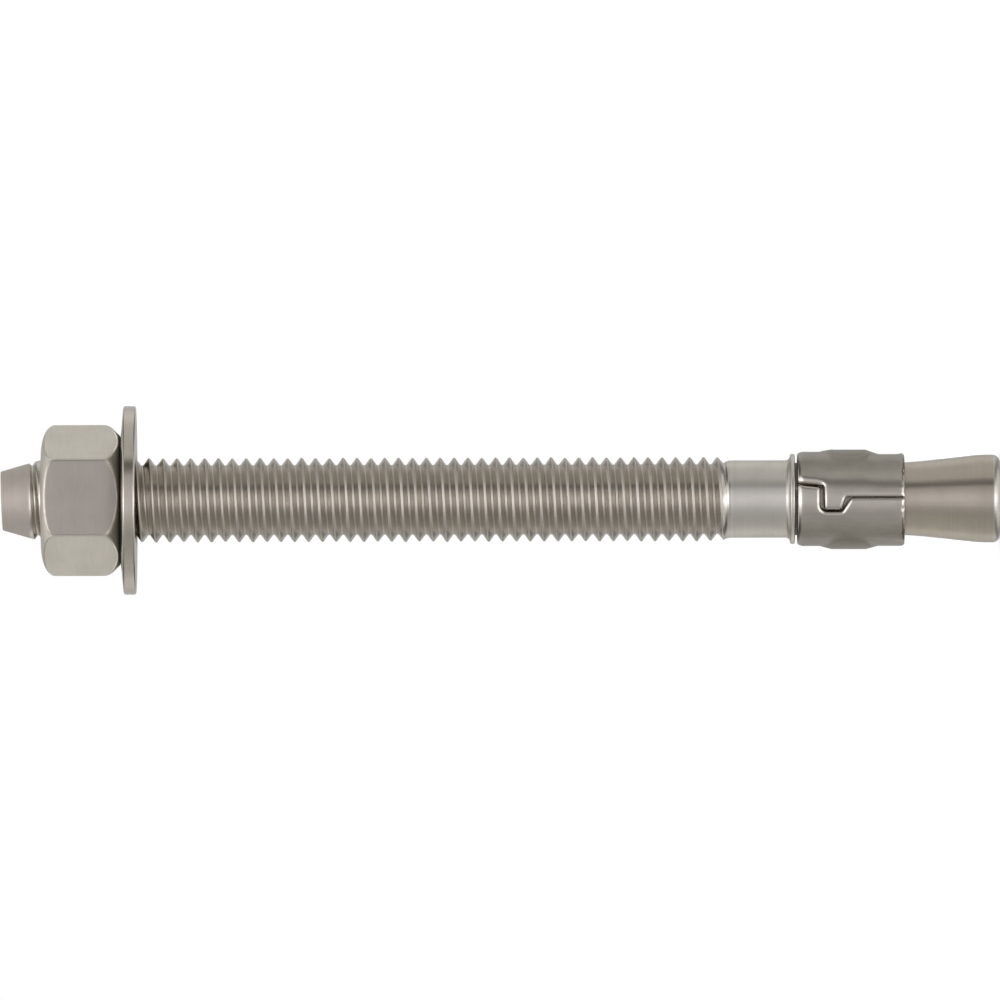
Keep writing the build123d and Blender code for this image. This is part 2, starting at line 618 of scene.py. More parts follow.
@dataclass(frozen=True, kw_only=True)
class FlatPair(Patch):
    """The front and back flats of a hexagon.

    Args:
        turn: Angle in degrees by which the front flat is turned from +X towards +Y.
        half_flats: Half the size across flats.
        edge: Depths below a flat where the patch begins and where it is full.
    """

    turn: float
    half_flats: float
    edge: Spot = (0.12, 0.01)

    def quarter(self, book: NodeBook) -> tuple[Value, Value, Value]:
        """Fold the hexagon's four quarters into one.

        Args:
            book: The material's node tree.

        Returns:
            Distances forwards and sideways from the axis, in the hexagon's own directions, and the station.
        """
        rotation = (0.0, 0.0, -math.radians(self.turn))
        turned = book.add("ShaderNodeMapping", {}, {"Vector": book.place(), "Rotation": rotation}).outputs[0]
        forwards, sideways, along = (part.math("ABSOLUTE") * (1 / MM) for part in book.split(turned))
        return forwards, sideways, OVERALL_LENGTH - along

    def mask(self, book: NodeBook) -> Value:
        """Value that is 1 on the front and back flats."""
        return self.quarter(book)[0].ease(*(self.half_flats - depth for depth in self.edge))


@dataclass(frozen=True, kw_only=True)
class FlatRims(FlatPair):
    """Worn rims where a hexagon's flats meet its dome and its chamfer, brightened by a painted highlight.

    Each pair gives the start and the end of a rise or a fall of the wear.

    Args:
        lower_sum: Sum of station and radius on a lower rim, where the flat meets a chamfer of 45 degrees.
        onset: Rise on an upper rim, as depths below the flats.
        depth: Fall on an upper rim, as depths below the flats.
        upper_end: Fall on an upper rim, as stations.
        upper_share: Share of the wear and of its painted highlight that the upper rims have.
        lower_onset: Rise on a lower rim, as distances beyond it.
        lower_end: Fall on a lower rim, as distances beyond it.
        lower_depth: Fall on a lower rim, as depths below the flats.
        specks: Unevenness of the wear and of its painted highlight.
    """

    lower_sum: float
    onset: Spot = (0.004, 0.03)
    depth: Spot = (0.1, 0.16)
    upper_end: Spot = (7.6, 7.9)
    upper_share: float = 0.35
    lower_onset: Spot = (-0.26, -0.16)
    lower_end: Spot = (-0.05, 0.05)
    lower_depth: Spot = (0.06, 0.1)
    specks: Specks = Specks(900.0, (0.3, 0.55), 0.45)

    def mask(self, book: NodeBook) -> Value:
        """Value that is 1 on the rims.

        Args:
            book: The material's node tree.

        Returns:
            The mask.
        """
        forwards, sideways, station = self.quarter(book)
        slanted = forwards * math.sin(HALF_SIDE) + sideways * math.cos(HALF_SIDE)
        sunk = self.half_flats - forwards.math("MAXIMUM", slanted)
        upper = sunk.within(self.onset, self.depth) * station.ease(*self.upper_end, 1.0, 0.0)
        reach = station + (forwards * forwards + sideways * sideways).math("SQRT") - self.lower_sum
        lower = reach.within(self.lower_onset, self.lower_end) * sunk.ease(*self.lower_depth, 1.0, 0.0)
        return (upper * self.upper_share + lower) * self.specks.wear(book)


@dataclass(frozen=True, kw_only=True)
class Sides(Patch):
    """The sides of a round piece, to the left and right of its front.

    Args:
        start: Distance from the front line where the sides begin.
        full: Distance where the patch is full.
    """

    start: float = 2.4
    full: float = 5.4

    def mask(self, book: NodeBook) -> Value:
        """Value that rises to 1 towards +Y and -Y."""
        sideways = book.split(book.place())[1].math("ABSOLUTE") * (1 / MM)
        return sideways.ease(self.start, self.full)


@dataclass(frozen=True, kw_only=True)
class WornEdgesAndHighlight(Patch):
    """Edges that rubbing has worn, with a painted highlight that brightens them, as the piece's own attribute
    gives them.

    Args:
        inner: Distance from the axis below which nothing rubs.
        fade: Half width of the soft edge there.
        specks: Unevenness of the wear and of its painted highlight.
    """

    inner: float = 6.25
    fade: float = 0.06
    specks: Specks = Specks(700.0, (0.3, 0.6), 0.6)

    def mask(self, book: NodeBook) -> Value:
        """Value that is 1 where the edges are worn and carry the painted highlight.

        Args:
            book: The material's node tree.

        Returns:
            The mask.
        """
        skin = Belt(inner=self.inner, fade=self.fade).mask(book)
        worn_and_highlit = book.value("ShaderNodeAttribute", {"attribute_name": WEAR_AND_SHEEN}, {}, "Fac")
        return worn_and_highlit * skin * self.specks.wear(book)


@dataclass(frozen=True)
class SteelFinish:
    """Stainless steel with fine lines, blotches and small dents.

    Args:
        name: The material's name.
        colour: Colour of the lighter steel.
        dark_colour: Colour of the darker lines and blotches.
        roughness: Average roughness.
        roughness_swing: How much the lines and the blotches change it.
        line_scale: Lines for each metre along X, Y and Z.
        blotch_scale: Blotches for each metre.
        line_depth: Depth of the lines in millimetres.
        dent_depth: Depth of the dents in millimetres.
        patches: Parts of the surface that differ, each laid over those before it.
        blotch_share: Share of the blotches in the change of colour, which the lines make up to 1.
        blotch_rise: Values of the grain between which a blotch grows dark.
        line_rise: Values of the grain between which a line grows dark.
        dents_per_blotch: How many dents go along one blotch.
        line_strength: How strongly the lines' relief shows.
        dent_strength: How strongly the dents' relief shows.
    """

    name: str
    colour: Colour
    dark_colour: Colour
    roughness: float
    roughness_swing: float
    line_scale: Triple
    blotch_scale: float
    line_depth: float
    dent_depth: float
    patches: tuple[Patch, ...] = ()
    blotch_share: float = 0.6
    blotch_rise: Spot = (0.35, 0.7)
    line_rise: Spot = (0.3, 0.7)
    dents_per_blotch: float = 6.0
    line_strength: float = 0.6
    dent_strength: float = 0.5

    def make(self) -> bpy.types.Material:
        """Make the material.

        Returns:
            The new material.
        """
        material = bpy.data.materials.new(self.name)
        material.use_nodes = True
        book = NodeBook(material.node_tree)
        lines = book.grain(self.line_scale, detail=4.0, roughness=0.65)
        blotches = book.grain((self.blotch_scale,) * 3)
        dents = book.grain((self.blotch_scale * self.dents_per_blotch,) * 3, detail=2.0)
        tint = blotches.ease(*self.blotch_rise) * self.blotch_share
        tint = tint + lines.ease(*self.line_rise) * (1 - self.blotch_share)
        colour = book.mix(tint, self.colour, self.dark_colour)
        roughness = self.roughness + (lines + blotches - 1.0) * self.roughness_swing
        metallic: Value | float = 1.0
        for patch in self.patches:
            mask = patch.mask(book)
            colour = book.mix(mask, colour, patch.tint, "MULTIPLY")
            roughness = roughness + mask * patch.roughness
            if patch.dullness:
                metallic = metallic - mask * patch.dullness
        lined = book.bump(lines, self.line_depth, self.line_strength)
        dented = book.bump(dents, self.dent_depth, self.dent_strength, Normal=lined)
        inputs = {"Base Color": colour, "Metallic": metallic, "Roughness": roughness, "Normal": dented}
        shader = book.add("ShaderNodeBsdfPrincipled", {}, inputs)
        book.add("ShaderNodeOutputMaterial", {}, {"Surface": shader.outputs[0]})
        return material

    def cover(self, piece: bpy.types.Object) -> None:
        """Give a piece this finish alone."""
        piece.data.materials.clear()
        piece.data.materials.append(self.make())


# ---------------------------------------------------------------------------------------------------------
# Thread
# ---------------------------------------------------------------------------------------------------------


@dataclass(frozen=True)
class RolledThread:
    """Right-hand rolled thread with rounded crests, for the stud and, with a clearance, for the nut."""

    pitch: float = 1.9538
    crest_radius: float = 5.97
    root_radius: float = 4.9
    crest_flat: float = 0.2
    crest_round: float = 0.19
    root_round: float = 0.3
    half_angle: float = 35.0
    """Angle of each flank from square to the axis."""
    crest_station: float = 1.41
    """Station of a crest on the +Y side, before whole pitches are added."""
    steps: int = 72

    def ridge(
        self, crest: float, root: float, crest_round: float, root_round: float, widening: float = 0.0
    ) -> list[Spot]:
        """Outline of one pitch, from the middle of a root over the crest to the next root.

        Args:
            crest: Radius of the crest.
            root: Radius of the root.
            crest_round: Radius of the crest's two corners.
            root_round: Radius of the root's two corners.
            widening: How much wider than the stud's own crest the ridge is at the crest radius.

        Returns:
            Points as (distance along the axis from the crest's middle, radius).
        """
        slope = math.tan(math.radians(self.half_angle))
        crest_half = self.crest_flat / 2 + widening + (self.crest_radius - crest) * slope
        root_half = crest_half + (crest - root) * slope
        half_pitch = self.pitch / 2
        return rounded_outline(
            [
                Corner(-half_pitch, root),
                Corner(-root_half, root, root_round),
                Corner(-crest_half, crest, crest_round),
                Corner(crest_half, crest, crest_round),
                Corner(root_half, root, root_round),
                Corner(half_pitch, root),
            ]
        )

    def wind(self, name: str, ridge: list[Spot], top: float, bottom: float) -> bpy.types.Object:
        """Wind a ridge round the axis with the Screw modifier.

        Args:
            name: The new piece's name.
            ridge: Outline of one pitch.
            top: First station that the winding covers all round.
            bottom: Last station that it covers all round.

        Returns:
            An open band of thread, a little longer than asked for.
        """
        on_front = self.crest_station + self.pitch / 4
        lowest = on_front + self.pitch * math.ceil((bottom - on_front) / self.pitch + 1)
        turns = math.ceil((lowest - top) / self.pitch) + 1
        points = [Vector((radius * MM, 0, height(lowest - along))) for along, radius in ridge]
        band = draw_line(name, points)
        apply_modifier(
            band,
            "SCREW",
            axis="Z",
            angle=FULL_TURN,
            screw_offset=self.pitch * MM,
            iterations=turns,
            steps=self.steps,
            render_steps=self.steps,
        )
        close_up(band)
        return band


# ---------------------------------------------------------------------------------------------------------
# Pieces
# ---------------------------------------------------------------------------------------------------------


@dataclass
class AnchorStud:
    """The cold-formed bar: sheared point, rolled thread, shank, collar, neck and flared cone."""

    thread: RolledThread = field(default_factory=RolledThread)
    point_radius: float = 4.1
    point_length: float = 6.5
    shear_angle: float = 2.0
    tip_ring: float = 0.6
    """Station of the last ring of faces below the tip."""
    tip_bevel: float = 0.12
    overshoot: float = 1.0
    """Length by which the point is made too long, before its tip is sheared off."""
    groove_start: float = 3.4
    """Station where the grooves begin to sink into the bare point."""
    groove_full: float = 4.6
    flank_end: float = 7.5
    """Station down to which the flanks are divided, to follow the taper."""
    flank_rise: float = 0.3
    """Least change of radius along an edge that counts as part of a flank."""
    flank_cuts: int = 5
    crest_wear: float = 0.06
    """Greatest loss of height of an uneven crest."""
    crest_zone: float = 0.4
    """Depth below the crests to which the wear reaches."""
    crest_waves: tuple[Spot, ...] = ((2.3, 3.0), (1.1, -5.0))
    """Waves of the wear, as (waves' angle for each millimetre along, waves round the stud)."""
    fade_start: float = 101.5
    """Station where the thread begins to run out into the shank."""
    fade_end: float = 103.1
    shank_start: float = 103.4
    shank_radius: float = 5.45
    shank_ring: float = 1.5
    """Distance of a ring from each end of the shank, so that the shank's shading stays straight."""
    collar_start: float = 111.3
    collar_end: float = 111.95
    collar_radius: float = 6.35
    collar_root: float = 0.7
    collar_upper_round: float = 0.2
    collar_lower_round: float = 0.18
    neck_radius: float = 5.1
    neck_corner: float = 0.1
    neck_end: float = 128.15
    cone_root_radius: float = 50.0
    cone_top: float = 138.035
    cone_shoulder_radius: float = 20.0
    cone_radius: float = 6.2
    end_round: float = 1.1
    end_rings: Spot = (2.5, 0.6)
    """Radii of the rings of faces on the flat end."""

    def cone_at(self, station: float) -> float:
        """Radius of the tapered point at a station."""
        rise = self.thread.crest_radius - self.point_radius
        return self.point_radius + rise * station / self.point_length

    def thread_rule(self, stations: np.ndarray, radii: np.ndarray, angles: np.ndarray) -> np.ndarray:
        """Trim the thread to the tapered point, and fade it into the bare tip and into the shank.

        Args:
            stations: Stations of the vertices.
            radii: Their radii before.
            angles: Their angles.

        Returns:
            Their radii after.
        """
        cone = self.cone_at(np.maximum(stations, 0))
        growth = smooth_step(stations, self.groove_start, self.groove_full)
        crests = smooth_step(radii, self.thread.crest_radius - self.crest_zone, self.thread.crest_radius)
        losses = [1 - np.sin(stations * along + angles * around) for along, around in self.crest_waves]
        worn = radii - crests * sum(losses) * self.crest_wear / (2 * len(losses))
        trimmed = cone + (np.minimum(worn, cone) - cone) * growth
        fade = smooth_step(stations, self.fade_start, self.fade_end)
        return trimmed * (1 - fade) + self.shank_radius * fade

    def divide_flanks(self, band: bpy.types.Object) -> None:
        """Divide the flanks of the turns on the point, where the taper cuts through them.

        Args:
            band: The band of thread.
        """
        with editing(band):
            bpy.ops.mesh.select_all(action="DESELECT")
            mesh = bmesh.from_edit_mesh(band.data)
            for edge in mesh.edges:
                radii = [math.hypot(end.co.x, end.co.y) for end in edge.verts]
                on_point = all(end.co.z > height(self.flank_end) for end in edge.verts)
                edge.select_set(on_point and abs(radii[0] - radii[1]) > self.flank_rise * MM)
            bmesh.update_edit_mesh(band.data)
            bpy.ops.mesh.subdivide(number_cuts=self.flank_cuts)

    def wind_thread(self) -> bpy.types.Object:
        """Wind the thread, trim it, and cut both of its ends level.

        Returns:
            The band of thread, open at both ends.
        """
        thread = self.thread
        ridge = thread.ridge(thread.crest_radius, thread.root_radius, thread.crest_round, thread.root_round)
        band = thread.wind("stud", ridge, self.groove_start, self.shank_start)
        self.divide_flanks(band)
        reshape(band, self.thread_rule)
        cut_level(band, self.groove_start, drop_above=True)
        cut_level(band, self.shank_start, drop_above=False)
        reshape(band, self.thread_rule)
        return band

    def shape_shank(self) -> list[Spot]:
        """Outline from the thread's end over the shank, collar, neck and cone to the flat end.

        Returns:
            Points as (station, radius).
        """
        return rounded_outline(
            [
                Corner(self.shank_start, self.shank_radius),
                Corner(self.shank_start + self.shank_ring, self.shank_radius),
                Corner(self.collar_start - self.shank_ring, self.shank_radius),
                Corner(self.collar_start, self.shank_radius, self.collar_root, steps=6),
                Corner(self.collar_start, self.collar_radius, self.collar_upper_round, steps=4),
                Corner(self.collar_end, self.collar_radius, self.collar_lower_round, steps=4),
                Corner(self.collar_end, self.neck_radius, self.neck_corner, steps=2),
                Corner(self.neck_end, self.neck_radius, self.cone_root_radius, steps=16),
                Corner(self.cone_top, self.cone_radius, self.cone_shoulder_radius, steps=10),
                Corner(OVERALL_LENGTH, self.cone_radius, self.end_round, steps=8),
                *(Corner(OVERALL_LENGTH, radius) for radius in self.end_rings),
            ]
        )

    def build(self) -> bpy.types.Object:
        """Make the whole stud as one closed piece.

        Returns:
            The stud.
        """
        stud = self.wind_thread()
        tip_stations = (self.groove_start, self.tip_ring, -self.overshoot)
        with editing(stud):
            draw_out(stud, self.shape_shank())
            bpy.ops.mesh.edge_face_add()
            draw_out(stud, [(station, self.cone_at(station)) for station in tip_stations])
        slant = math.radians(self.shear_angle)
        with editing(stud):
            bpy.ops.mesh.bisect(
                plane_co=(0, self.point_radius * MM, height(0)),
                plane_no=(0, math.sin(-slant), math.cos(slant)),
                clear_outer=True,
                use_fill=True,
                threshold=CUT_THRESHOLD,
            )
            bpy.ops.mesh.bevel(offset=self.tip_bevel * MM, segments=2, affect="EDGES")
        close_up(stud)
        smooth(stud)
        return stud

    def dress(self, stud: bpy.types.Object) -> None:
        """Give the stud its steel: a dull point, a bright shank, and painted shade on the neck under the
        sleeve and in the thread's roots.

        Args:
            stud: The finished mesh.
        """
        SteelFinish(
            name="stud_steel",
            colour=(0.6, 0.567, 0.508),
            dark_colour=(0.54, 0.508, 0.452),
            roughness=0.36,
            roughness_swing=0.1,
            line_scale=(60.0, 60.0, 4000.0),
            blotch_scale=300.0,
            line_depth=0.004,
            dent_depth=0.004,
            patches=(
                Belt(top=-1.0, bottom=4.1, fade=0.2, tint=(0.72, 0.685, 0.66), roughness=0.2, dullness=0.65),
                Belt(top=4.4, bottom=102.9, tint=(0.9, 0.89, 0.88), roughness=-0.14),
                Belt(top=6.5, bottom=102.9, inner=5.8, fade=0.06, tint=(0.95, 0.95, 0.95), roughness=0.22),
                # Painted shade in the thread's roots.
                Belt(top=6.5, bottom=102.9, outer=4.95, fade=0.06, tint=(0.9, 0.9, 0.9), roughness=0.16),
                Belt(top=103.2, bottom=111.6, fade=0.3, tint=(0.93, 0.93, 0.93)),
                # Painted shade on the neck under the sleeve.
                Belt(top=111.9, bottom=127.2, outer=5.6, tint=(0.75, 0.75, 0.75), roughness=0.1),
                Belt(top=127.4, bottom=140.0, fade=0.3, tint=(0.715, 0.68, 0.625), roughness=-0.14),
            ),
        ).cover(stud)


@dataclass
class HexNut:
    """Hexagon nut with a domed outer end and a chamfered bearing end, threaded to fit the stud."""

    thread: RolledThread = field(default_factory=RolledThread)
    top: float = 5.7
    length: float = 11.2
    half_flats: float = 9.3
    half_corners: float = 10.65
    crown_depth: float = 2.0
    crown_face: float = 6.65
    bearing_radius: float = 9.05
    edge_round: float = 0.5
    rim_round: float = 0.22
    """Rounding of the flats' lower rims."""
    bearing_round: float = 1.9
    """Rounding of the corners where they meet the lower chamfer."""
    clearance: float = 0.06
    minor_radius: float = 5.4
    mouth_radius: float = 6.61
    turn: float = 2.7
    """Angle by which the front flat is turned towards +Y."""
    dome_margin: float = 0.02
    """How much wider than the nut the dome's curve is, so that it doesn't end upright."""
    dome_steps: int = 8
    waist: float = 0.45
    """Place of a ring round the flats, as a share of the length."""
    bearing_edge: float = 0.25
    """Rounding between the lower chamfer and the bearing face."""
    mouth_rim: float = 0.3
    """How far outside the dome's inner edge the bearing face's mesh ends."""
    flank_share: float = 0.9
    """Share of the clearance that the thread's flanks have."""
    thread_rounds: Spot = (0.08, 0.1)
    """Roundings of the thread's crests and roots."""
    flat_steps: int = 20
    corner_steps: int = 10

    @property
    def bottom(self) -> float:
        """Station of the bearing face."""
        return self.top + self.length

    def corner_round(self) -> float:
        """Radius of the six long edges, from the sizes across flats and across corners."""
        sharp = self.half_flats / math.cos(HALF_SIDE)
        return (sharp - self.half_corners) / (1 / math.cos(HALF_SIDE) - 1)

    def dome_drop(self, share: float) -> float:
        """Depth of the dome's surface below the top, at a share of its width."""
        return self.crown_depth * (1 - math.sqrt(1 - share**2))

    def hexagon(self) -> list[Spot]:
        """Angles and radii round the hexagon, one flat and one corner after the other.

        Returns:
            (angle, radius) for each step, starting in the middle of the flat that faces +X.
        """
        rounding = self.corner_round()
        centre = (self.half_flats - rounding) / math.cos(HALF_SIDE)
        flat_end = centre * math.sin(HALF_SIDE)
        spots: list[Spot] = []
        for side in range(6):
            turn = side * 2 * HALF_SIDE + math.radians(self.turn)
            for step in range(self.flat_steps):
                along = flat_end * (2 * step / self.flat_steps - 1)
                spots.append((turn + math.atan2(along, self.half_flats), math.hypot(along, self.half_flats)))
            for step in range(self.corner_steps):
                swing = 2 * HALF_SIDE * step / self.corner_steps
                x = self.half_flats - rounding + rounding * math.cos(swing)
                y = flat_end + rounding * math.sin(swing)
                spots.append((turn + math.atan2(y, x), math.hypot(x, y)))
        return spots

    def section(self, radius: float) -> list[Spot]:
        """Outline of the nut's skin where its side stands at a radius.

        Args:
            radius: Distance of the side from the axis.

        Returns:
            Points as (station, radius), as many for each radius.
        """
        dome_width = self.half_corners - self.crown_face + self.dome_margin
        share = (radius - self.crown_face) / dome_width
        parts = [share * step / self.dome_steps for step in range(self.dome_steps)]
        dome = [
            Corner(self.top + self.dome_drop(part), self.crown_face + part * dome_width) for part in parts
        ]
        chamfer_start = self.bottom - (radius - self.bearing_radius)
        towards_corner = (radius - self.half_flats) / (self.half_corners - self.half_flats)
        lower_round = self.rim_round + (self.bearing_round - self.rim_round) * towards_corner
        return rounded_outline(
            [
                *dome,
                Corner(self.top + self.dome_drop(share), radius, self.edge_round, steps=4),
                Corner(self.top + self.length * self.waist, radius),
                Corner(chamfer_start, radius, lower_round, steps=5),
                Corner(self.bottom, self.bearing_radius, self.bearing_edge, steps=3),
                Corner(self.bottom, self.crown_face + self.mouth_rim),
            ]
        )

    def turn_skin(self) -> bpy.types.Object:
        """Turn a round blank, and press its sides into the hexagon.

        Returns:
            The nut's skin, open at both mouths of the bore.
        """
        spots = self.hexagon()
        blank = self.section(self.half_corners)
        skin = turn_outline("nut_skin", blank, len(spots))
        places = vertex_places(skin)
        line = np.array([(radius * MM, height(station)) for station, radius in blank])
        here = np.column_stack([np.hypot(places[:, 0], places[:, 1]), places[:, 2]])
        rows = np.argmin(((here[:, None, :] - line[None, :, :]) ** 2).sum(2), axis=1)
        angles = np.arctan2(places[:, 1], places[:, 0])
        columns = np.rint(angles / FULL_TURN * len(spots)).astype(int) % len(spots)
        sections = [self.section(radius) for _, radius in spots]
        for index, (row, column) in enumerate(zip(rows, columns)):
            angle = spots[column][0]
            station, radius = sections[column][row]
            places[index] = (radius * MM * math.cos(angle), radius * MM * math.sin(angle), height(station))
        move_vertices(skin, places)
        return skin

    def bore_rule(self, stations: np.ndarray, radii: np.ndarray, angles: np.ndarray) -> np.ndarray:
        """Open the thread to the countersink at both ends of the bore; the angles play no part."""
        depth = np.minimum(stations - self.top, self.bottom - stations)
        return np.maximum(radii, self.mouth_radius - np.maximum(depth, 0))

    def wind_bore(self) -> bpy.types.Object:
        """Wind the nut's own thread, which leaves a clearance round the stud's.

        Returns:
            The band of thread, open at both ends.
        """
        thread = self.thread
        crest, flank_gap = thread.crest_radius + self.clearance, self.clearance * self.flank_share
        ridge = thread.ridge(crest, self.minor_radius, *self.thread_rounds, widening=flank_gap)
        band = thread.wind("nut_thread", ridge, self.top, self.bottom)
        reshape(band, self.bore_rule)
        cut_level(band, self.top, drop_above=True)
        cut_level(band, self.bottom, drop_above=False)
        reshape(band, self.bore_rule)
        return band

    def build(self) -> bpy.types.Object:
        """Make the nut as one closed piece.

        Returns:
            The nut.
        """
        bore = self.wind_bore()
        skin = self.turn_skin()
        nut = join("nut", skin, bore)
        for mouth in (self.top, self.bottom):
            with editing(nut):
                select_rim(nut, mouth)
                bpy.ops.mesh.fill(use_beauty=False)
        close_up(nut)
        smooth(nut)
        return nut

    def dress(self, nut: bpy.types.Object) -> None:
        """Give the nut its steel: painted shade on the front and back flats and on the underside by the
        washer, and worn rims with a painted highlight.

        Args:
            nut: The finished mesh.
        """
        SteelFinish(
            name="nut_steel",
            colour=(0.64, 0.6, 0.525),
            dark_colour=(0.59, 0.552, 0.482),
            roughness=0.48,
            roughness_swing=0.08,
            line_scale=(300.0, 300.0, 2500.0),
            blotch_scale=200.0,
            line_depth=0.001,
            dent_depth=0.003,
            patches=(
                # Painted shade: the front and back flats are darkened for the way the light falls on them.
                FlatPair(turn=self.turn, half_flats=self.half_flats, tint=(0.54, 0.525, 0.522)),
                # Painted highlight: the rims' colour is brightened, and their lower roughness stands for the
                # real wear.
                FlatRims(
                    turn=self.turn,
                    half_flats=self.half_flats,
                    lower_sum=self.bottom + self.bearing_radius,
                    tint=(1.5, 1.5, 1.5),
                    roughness=-0.2,
                ),
                # Painted shade on the nut's chamfer and underside next to the washer.
                Belt(top=16.6, inner=6.0, fade=0.3, tint=(0.35, 0.35, 0.35), roughness=0.1),
            ),
        ).cover(nut)


@dataclass
class FlatWasher:
    """Punched ring: its upper face is slightly crowned and its rim rounded."""

    top: float = 16.95
    thickness: float = 2.15
    bore_radius: float = 6.75
    rim_radius: float = 13.295
    crown: float = 0.4
    crown_start: float = 9.05
    crown_round: float = 12.0
    bore_rounds: Spot = (0.3, 0.12)
    """Roundings of the bore's upper and lower edges."""
    rim_rounds: Spot = (0.32, 0.3)
    """Roundings of the rim's upper and lower edges."""
    steps: int = 144

    def build(self) -> bpy.types.Object:
        """Make the washer.

        Returns:
            The washer.
        """
        bottom = self.top + self.thickness
        outline = rounded_outline(
            [
                Corner(self.top, self.bore_radius, self.bore_rounds[0], steps=4),
                Corner(self.top, self.crown_start, self.crown_round, steps=4),
                Corner(self.top + self.crown, self.rim_radius, self.rim_rounds[0], steps=6),
                Corner(bottom, self.rim_radius, self.rim_rounds[1], steps=6),
                Corner(bottom, self.bore_radius, self.bore_rounds[1], steps=2),
            ],
            closed=True,
        )
        washer = turn_outline("washer_ring", outline, self.steps)
        smooth(washer)
        return washer

    def dress(self, washer: bpy.types.Object) -> None:
        """Give the washer its steel, with painted shade on its upper face where the nut covers it.

        Args:
            washer: The finished mesh.
        """
        SteelFinish(
            name="washer_steel",
            colour=(0.5, 0.457, 0.394),
            dark_colour=(0.42, 0.382, 0.327),
            roughness=0.15,
            roughness_swing=0.06,
            line_scale=(200.0, 200.0, 3500.0),
            blotch_scale=250.0,
            line_depth=0.002,
            dent_depth=0.002,
            # Painted shade on the upper face where the nut covers it.
            patches=(Belt(bottom=17.3, outer=10.6, fade=0.4, tint=(0.4, 0.4, 0.4), roughness=0.1),),
        ).cover(washer)


